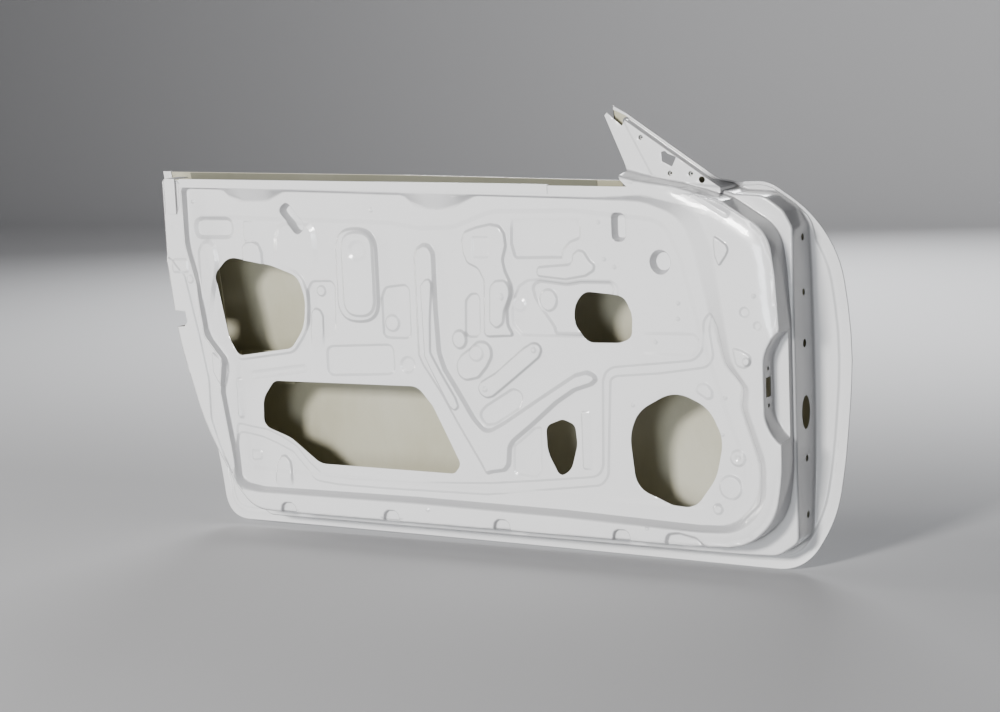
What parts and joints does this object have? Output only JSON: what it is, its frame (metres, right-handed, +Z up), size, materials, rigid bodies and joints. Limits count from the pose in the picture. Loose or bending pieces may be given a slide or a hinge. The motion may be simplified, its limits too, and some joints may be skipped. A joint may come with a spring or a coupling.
{
  "type": "car door shell",
  "caption": "Bare coupe door shell: stamped inner panel with access openings, hemmed to a crowned outer skin, with welded reinforcements, beam and mirror sail.",
  "frame": {"origin": "middle of the flat hinge face at the front end of the shell", "axes": "+X to the front of the car, out of the hinge face; +Y outboard, from the inner panel to the outer skin; +Z up"},
  "size_m": [1.265, 0.1445, 0.7208],
  "materials": {
    "gloss_white_paint": "gloss white paint, lightly dulled",
    "electrocoat_primer": "pale olive electrocoat, satin",
    "zinc_plated_steel": "dull zinc plate",
    "mastic": "matt black mastic and tar sheet"
  },
  "bodies": {
    "root": {"beam_bracket_front": "electrocoat_primer", "beam_bracket_rear": "electrocoat_primer", "beam_mastic_pad_1": "mastic", "beam_mastic_pad_2": "mastic", "beam_mastic_pad_3": "mastic", "belt_cap_inner": "gloss_white_paint", "belt_channel_inner": "electrocoat_primer", "belt_end_cap_rear": "gloss_white_paint", "belt_reinforcement_outer": "electrocoat_primer", "check_strap_reinforcement": "electrocoat_primer", "check_strap_weld_nut_lower": "zinc_plated_steel", "check_strap_weld_nut_upper": "zinc_plated_steel", "glass_run_bracket_front": "electrocoat_primer", "glass_run_bracket_rear": "electrocoat_primer", "glass_run_channel_front": "electrocoat_primer", "glass_run_channel_rear": "electrocoat_primer", "handle_reinforcement": "electrocoat_primer", "hinge_reinforcement_lower": "electrocoat_primer", "hinge_reinforcement_upper": "electrocoat_primer", "hinge_weld_nut_lower_1": "zinc_plated_steel", "hinge_weld_nut_lower_2": "zinc_plated_steel", "hinge_weld_nut_upper_1": "zinc_plated_steel", "hinge_weld_nut_upper_2": "zinc_plated_steel", "inner_panel": "gloss_white_paint", "latch_reinforcement": "electrocoat_primer", "mirror_reinforcement": "electrocoat_primer", "mirror_weld_nut_1": "zinc_plated_steel", "mirror_weld_nut_2": "zinc_plated_steel", "mirror_weld_nut_3": "zinc_plated_steel", "outer_skin": "gloss_white_paint", "side_impact_beam": "electrocoat_primer", "sound_deadening_sheet": "mastic"}
  },
  "joints": []
}
